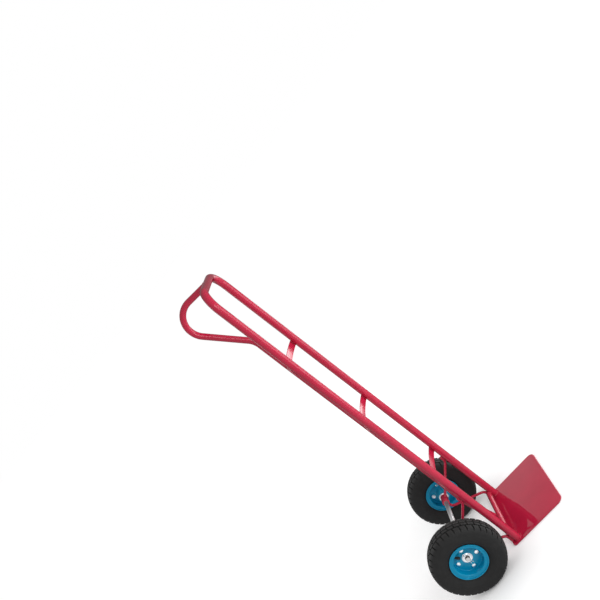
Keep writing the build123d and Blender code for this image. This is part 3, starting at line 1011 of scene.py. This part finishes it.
def valve_cap():
    """Fluted cap on the stem's tip."""
    sides = VALVE_CAP_FLUTES * FLUTE_SIDES
    rings = []
    flute_from, flute_to = VALVE_FLUTE_SHARES
    for share, scale in VALVE_CAP_PROFILE:
        depth = VALVE_FLUTE_DEPTH if flute_from < share < flute_to else 0
        section = []
        for k in range(sides):
            angle = 2 * pi * k / sides
            radius = VALVE_CAP_D / 2 * scale - depth * (1 - cos(VALVE_CAP_FLUTES * angle)) / 2
            section.append((radius * cos(angle), radius * sin(angle)))
        rings.append(valve_ring(VALVE_TIP_R - share * VALVE_CAP_LENGTH, section))
    return loft(rings)


def about_x(angle):
    return Matrix.Rotation(angle, 4, "X")


def wheel(name, side):
    """Tyre, bolts, nuts and valve of one wheel."""
    body = f"{name}_wheel"
    place = Matrix.Translation(wheel_centre[body]) @ Matrix.Scale(side, 4, Vector((1, 0, 0)))
    phase = BOLT_PHASE[name]
    nut_x = -RIM_SHEET - NUT_HEIGHT
    bolts = []
    nuts = []
    for index in range(BOLT_COUNT):
        angle = phase + index * 2 * pi / BOLT_COUNT
        at = place @ about_x(angle) @ Matrix.Translation((0, BOLT_CIRCLE_R, 0))
        at = at @ about_x(index * BOLT_TURN_STEP)
        bolts.append(moved(bolt(nut_x - BOLT_PAST_NUT), at))
        nuts.append(moved(nut(nut_x, -RIM_SHEET), at))
    valve_at = place @ about_x(phase + VALVE_FROM_BOLT)
    piece(f"{name}_treaded_tyre", moved(tyre(), place), "tyre_rubber", body, [f"{name}_tyre"])
    piece(f"{name}_bolt_set", joined(*bolts), "zinc_plate", body, [f"{name}_rim_bolts"])
    piece(f"{name}_nut_set", joined(*nuts), "zinc_plate", body, [f"{name}_rim_nuts"])
    piece(f"{name}_ribbed_valve_stem", moved(valve_stem(), valve_at), "valve_rubber", body,
          [f"{name}_valve_stem"])
    piece(f"{name}_fluted_valve_cap", moved(valve_cap(), valve_at), "valve_plastic", body,
          [f"{name}_valve_cap"])


def axle_washers(name):
    for where in ("inner", "outer"):
        node = f"{name}_{where}_washer"
        low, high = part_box(node)
        at = Matrix.Translation((low.x, axle_y, axle_z))
        ring = moved(washer(high.x - low.x, high.z - low.z), at)
        piece(f"{name}_{where}_eased_washer", ring, "zinc_plate", "frame", [node])


def cotter_pin(name):
    """Pin of bent wire through the axle, with its eye up and its legs spread."""
    node = f"{name}_cotter_pin"
    low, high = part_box(node)
    half = [
        (0, PIN_LEG_SPLAY, -PIN_LEG_DROP),
        (0, PIN_LEG, -PIN_LEG_BEND),
        (0, PIN_LEG, PIN_EYE_FOOT),
        (0, PIN_EYE_R, PIN_EYE_FOOT + PIN_EYE_R),
        (0, PIN_EYE_R, PIN_EYE_TOP),
    ]
    corners = half + [(0, -y, z) for _, y, z in reversed(half)]
    bends = [PIN_BEND_R, PIN_BEND_R, PIN_BEND_R, PIN_EYE_BEND_R]
    path = bent_path(corners, bends + list(reversed(bends)))
    wire = swept(path, circle(PIN_WIRE_D / 2, PIN_SIDES), Vector((1, 0, 0)))
    at = Matrix.Translation(((low.x + high.x) / 2, axle_y, axle_z))
    piece(f"{name}_bent_cotter_pin", moved(wire, at), "zinc_plate", "frame", [node])


rails_and_top_bar()
loop_and_spine()
flat_bars()
toe_plate()
foot_welds()
flat_bar_welds()
tube_welds()
strut_welds()
for side_name, side_sign in SIDES.items():
    wheel(side_name, side_sign)
    axle_washers(side_name)
    cotter_pin(side_name)


# Stage: floor, light and camera

def lit_background(tree, strength):
    """Node that gives 1 to rays from the camera or off gloss, and the strength to all others."""
    path = tree.nodes.new("ShaderNodeLightPath")
    seen = path.outputs["Is Camera Ray"]
    for other in ("Is Glossy Ray", "Is Transmission Ray"):
        node = tree.nodes.new("ShaderNodeMath")
        node.operation = "MAXIMUM"
        tree.links.new(seen, node.inputs[0])
        tree.links.new(path.outputs[other], node.inputs[1])
        seen = node.outputs[0]
    node = tree.nodes.new("ShaderNodeMapRange")
    node.inputs["To Min"].default_value = strength
    tree.links.new(seen, node.inputs["Value"])
    return node


def white_world(light):
    """White to look at, and a softer light on the truck."""
    world = bpy.data.worlds.new("white_studio")
    bpy.context.scene.world = world
    world.use_nodes = True
    background = world.node_tree.nodes["Background"]
    background.inputs["Color"].default_value = (1, 1, 1, 1)
    node = lit_background(world.node_tree, light)
    world.node_tree.links.new(node.outputs["Result"], background.inputs["Strength"])


def pale_floor(albedo, near_glow, far_glow):
    """White floor; its glow rises with distance, where the lamps no longer reach it, and falls near the truck in a
    painted contact shadow.
    """
    signs = ((-1, -1), (1, -1), (1, 1), (-1, 1))
    corners = [(sx * FLOOR_HALF, sy * FLOOR_HALF, -FLOOR_DROP) for sx, sy in signs]
    mesh = bpy.data.meshes.new("floor")
    mesh.from_pydata(corners, [], [(0, 1, 2, 3)])
    floor = bpy.data.objects.new("floor", mesh)
    bpy.context.scene.collection.objects.link(floor)
    floor_shader = Shader("pale_floor", Roughness=0.9, Specular_IOR_Level=0.0)
    surface = floor_shader.surface
    surface.inputs["Base Color"].default_value = (albedo, albedo, albedo, 1)
    surface.inputs["Emission Color"].default_value = (1, 1, 1, 1)
    tree = floor_shader.tree
    distance = tree.nodes.new("ShaderNodeVectorMath")
    distance.operation = "LENGTH"
    tree.links.new(floor_shader.place, distance.inputs[0])
    rise = tree.nodes.new("ShaderNodeMapRange")
    rise.interpolation_type = "SMOOTHSTEP"
    rise.inputs["From Min"].default_value = GLOW_RISE_FROM
    rise.inputs["From Max"].default_value = GLOW_RISE_TO
    rise.inputs["To Min"].default_value = near_glow
    rise.inputs["To Max"].default_value = far_glow
    tree.links.new(distance.outputs["Value"], rise.inputs["Value"])
    # Painted contact shadow: the glow falls where the truck is near
    contact_shade = tree.nodes.new("ShaderNodeAmbientOcclusion")
    contact_shade.samples = CONTACT_SAMPLES
    contact_shade.inputs["Distance"].default_value = CONTACT_REACH
    glow = tree.nodes.new("ShaderNodeMath")
    glow.operation = "MULTIPLY"
    tree.links.new(rise.outputs["Result"], glow.inputs[0])
    tree.links.new(contact_shade.outputs["AO"], glow.inputs[1])
    seen = lit_background(tree, 0.0)
    tree.links.new(glow.outputs["Value"], seen.inputs["To Max"])
    tree.links.new(seen.outputs["Result"], surface.inputs["Emission Strength"])
    mesh.materials.append(floor_shader.material)


def soft_lamp(name, place, width, height, power):
    """Rectangular lamp that points at the truck."""
    lamp = bpy.data.lights.new(name, "AREA")
    lamp.shape = "RECTANGLE"
    lamp.size = width
    lamp.size_y = height
    lamp.energy = power
    obj = bpy.data.objects.new(name, lamp)
    obj.location = place
    obj.rotation_euler = (LAMP_TARGET - place).to_track_quat("-Z", "Y").to_euler()
    bpy.context.scene.collection.objects.link(obj)


def photo_camera():
    data = bpy.data.cameras.new("photo_camera")
    data.lens = CAMERA_LENS
    data.sensor_width = CAMERA_SENSOR
    camera = bpy.data.objects.new("photo_camera", data)
    right = CAMERA_VIEW.cross(CAMERA_UP).normalized()
    up = right.cross(CAMERA_VIEW).normalized()
    axes = Matrix((right, up, -CAMERA_VIEW.normalized())).transposed()
    camera.matrix_world = Matrix.Translation(CAMERA_PLACE) @ axes.to_4x4()
    bpy.context.scene.collection.objects.link(camera)
    bpy.context.scene.camera = camera


white_world(light=0.42)
pale_floor(albedo=0.8, near_glow=0.4, far_glow=0.68)
photo_camera()
soft_lamp("front_strip", Vector((-0.55, -2.35, 0.75)), width=2.2, height=1.8, power=40)
soft_lamp("far_side", Vector((1.75, -1.15, 0.45)), width=1.2, height=0.9, power=18)
soft_lamp("camera_side", Vector((-2.0, -1.2, 1.7)), width=1.2, height=1.2, power=24)
soft_lamp("back_fill", Vector((0.8, 2.2, 1.2)), width=1.6, height=1.6, power=16)

bpy.context.scene.view_settings.view_transform = "Standard"
